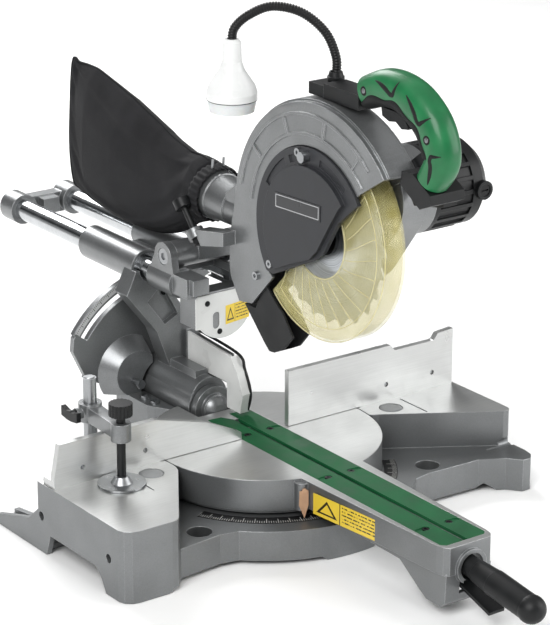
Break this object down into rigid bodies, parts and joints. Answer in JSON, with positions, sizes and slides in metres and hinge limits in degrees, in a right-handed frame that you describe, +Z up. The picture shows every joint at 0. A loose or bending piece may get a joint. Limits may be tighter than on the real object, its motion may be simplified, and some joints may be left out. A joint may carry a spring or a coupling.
{
  "type": "sliding mitre saw",
  "caption": "Benchtop sliding compound mitre saw with a turntable, tilting bracket, two slide pipes, hinged blade head, guard, lamp, vise and dust bag.",
  "frame": {"origin": "on the turntable's vertical axis, at the bench that the saw stands on, which is the middle of the box's bottom face to within 7 mm", "axes": "+X to the operator's right along the fence, +Y away from the operator, +Z up"},
  "size_m": [0.598, 1.0277, 0.6379],
  "materials": {
    "painted_casting": "die cast, silver-grey paint",
    "dark_casting": "dark grey paint",
    "machined_aluminium": "milled",
    "steel": "turned and ground",
    "polished_tube": "polished",
    "black_plastic": "moulded",
    "charcoal_plastic": "moulded",
    "black_rubber": "moulded",
    "green_plastic": "moulded",
    "white_plastic": "moulded",
    "lamp_diffuser": "frosted",
    "pointer_brass": "painted",
    "clear_guard": "tinted clear polycarbonate",
    "bag_fabric": "woven nylon"
  },
  "bodies": {
    "base": {"base_casting": "painted_casting", "left_fence": "machined_aluminium", "right_fence": "machined_aluminium", "fence_screws": "steel", "pivot_bolt": "steel"},
    "vise_post": {"vise_post": "steel"},
    "vise_post_bolt": {"vise_post_bolt": "black_plastic"},
    "vise_arm": {"vise_arm": "painted_casting"},
    "vise_arm_bolt": {"vise_arm_bolt": "black_plastic"},
    "vise_pad": {"vise_pad": "steel"},
    "vise_screw": {"vise_screw": "black_plastic"},
    "turntable": {"turntable": "painted_casting", "insert_left": "green_plastic", "insert_right": "green_plastic", "insert_screws": "steel", "mitre_pointer": "pointer_brass", "bevel_base": "painted_casting", "base_bolts": "steel", "pivot_cap": "dark_casting", "pivot_shaft": "steel"},
    "side_handle": {"side_handle": "black_plastic"},
    "detent_lever": {"detent_lever": "black_plastic"},
    "tilt_bracket": {"tilt_holder": "painted_casting", "slide_bearings": "steel", "chip_shield": "white_plastic"},
    "bevel_clamp_lever": {"bevel_clamp_lever": "black_plastic"},
    "slide_lock_knob": {"slide_lock_knob": "black_plastic"},
    "carriage": {"pipe_left": "polished_tube", "pipe_right": "polished_tube", "rear_bridge": "painted_casting", "carriage_bracket": "painted_casting", "hinge_pin": "steel", "laser_housing": "dark_casting", "laser_cover": "white_plastic"},
    "head": {"blade_case": "painted_casting", "side_cover": "charcoal_plastic", "case_screws": "steel", "dust_duct": "painted_casting", "dust_bag": "bag_fabric", "bag_clip": "steel", "chip_flap": "black_rubber", "gear_case": "painted_casting", "motor_housing": "black_plastic", "motor_end_cover": "black_plastic", "brush_caps": "black_plastic", "handle_frame": "black_plastic", "handle_grip": "green_plastic", "lamp_base": "black_plastic", "gooseneck": "black_rubber", "lamp_head": "white_plastic", "lamp_lens": "lamp_diffuser", "return_spring": "steel"},
    "trigger": {"trigger": "black_plastic"},
    "depth_stop": {"depth_stop": "black_plastic"},
    "blade_unit": {"blade": "steel", "arbor_clamp": "steel", "spindle": "steel"},
    "armature": {"armature": "steel"},
    "lower_guard": {"lower_guard": "clear_guard"}
  },
  "joints": [
    {"name": "mitre", "type": "hinge", "parent": "base", "child": "turntable", "pos_m": [0, 0, 0.088], "axis": [0, 0, 1], "range_deg": [-45, 52]},
    {"name": "side_handle_turn", "type": "hinge", "parent": "turntable", "child": "side_handle", "pos_m": [0, -0.388, 0.06], "axis": [0, -0.9925, -0.1219], "range_deg": [-60, 60]},
    {"name": "detent_press", "type": "hinge", "parent": "turntable", "child": "detent_lever", "pos_m": [0, -0.371, 0.041], "axis": [1, 0, 0], "range_deg": [-8, 0], "stiffness_Nm_per_rad": 2, "springref_deg": 2.86},
    {"name": "bevel", "type": "hinge", "parent": "turntable", "child": "tilt_bracket", "pos_m": [0, 0.17, 0.088], "axis": [0, 1, 0], "range_deg": [-45, 5]},
    {"name": "bevel_clamp_turn", "type": "hinge", "parent": "tilt_bracket", "child": "bevel_clamp_lever", "pos_m": [-0.01627, 0.25, 0.2205], "axis": [0, 1, 0], "range_deg": [-40, 10]},
    {"name": "slide_lock_turn", "type": "hinge", "parent": "tilt_bracket", "child": "slide_lock_knob", "pos_m": [0.07, 0.262, 0.257], "axis": [1, 0, 0], "range_deg": [-180, 180]},
    {"name": "head_slide", "type": "slide", "parent": "tilt_bracket", "child": "carriage", "axis": [0, -1, 0], "range_m": [-0.016, 0.165]},
    {"name": "head_chop", "type": "hinge", "parent": "carriage", "child": "head", "pos_m": [0, 0.138, 0.2886], "axis": [1, 0, 0], "range_deg": [0, 41], "stiffness_Nm_per_rad": 25, "springref_deg": -108.86},
    {"name": "trigger_pull", "type": "hinge", "parent": "head", "child": "trigger", "pos_m": [0.008, -0.216, 0.541], "axis": [1, 0, 0], "range_deg": [0, 8], "stiffness_Nm_per_rad": 0.6, "springref_deg": -8.59},
    {"name": "depth_stop_turn", "type": "hinge", "parent": "head", "child": "depth_stop", "pos_m": [-0.034, 0.095, 0.325], "axis": [0, 0.6665, 0.7455], "range_deg": [-180, 180]},
    {"name": "blade_spin", "type": "hinge", "parent": "head", "child": "blade_unit", "pos_m": [0, -0.122, 0.376], "axis": [1, 0, 0], "continuous": true},
    {"name": "armature_spin", "type": "hinge", "parent": "head", "child": "armature", "pos_m": [0.1, -0.176, 0.43], "axis": [1, 0, 0], "continuous": true},
    {"name": "guard_swing", "type": "hinge", "parent": "head", "child": "lower_guard", "pos_m": [0, -0.122, 0.376], "axis": [1, 0, 0], "range_deg": [-131, 0]},
    {"name": "vise_swing", "type": "hinge", "parent": "base", "child": "vise_post", "pos_m": [-0.221, 0.044, 0.1], "axis": [0, 0, 1], "range_deg": [-8, 8]},
    {"name": "vise_post_bolt_turn", "type": "hinge", "parent": "base", "child": "vise_post_bolt", "pos_m": [-0.221, 0.06, 0.066], "axis": [0, 1, 0], "range_deg": [-180, 180]},
    {"name": "vise_height", "type": "slide", "parent": "vise_post", "child": "vise_arm", "axis": [0, 0, 1], "range_m": [0, 0.03]},
    {"name": "vise_arm_bolt_turn", "type": "hinge", "parent": "vise_arm", "child": "vise_arm_bolt", "pos_m": [-0.245, 0.044, 0.156], "axis": [1, 0, 0], "range_deg": [-180, 180]},
    {"name": "vise_pad_travel", "type": "slide", "parent": "vise_arm", "child": "vise_pad", "axis": [0, 0, 1], "range_m": [0, 0.03]},
    {"name": "vise_screw_turn", "type": "hinge", "parent": "vise_pad", "child": "vise_screw", "pos_m": [-0.224, -0.027, 0.15], "axis": [0, 0, 1], "range_deg": [0, 3600]}
  ],
  "couplings": [
    {"joint": "armature_spin", "follows": "blade_spin", "ratio": -3},
    {"joint": "guard_swing", "follows": "head_chop", "ratio": -3.15},
    {"joint": "vise_screw_turn", "follows": "vise_pad_travel", "rad_per_m": 2094.4}
  ]
}
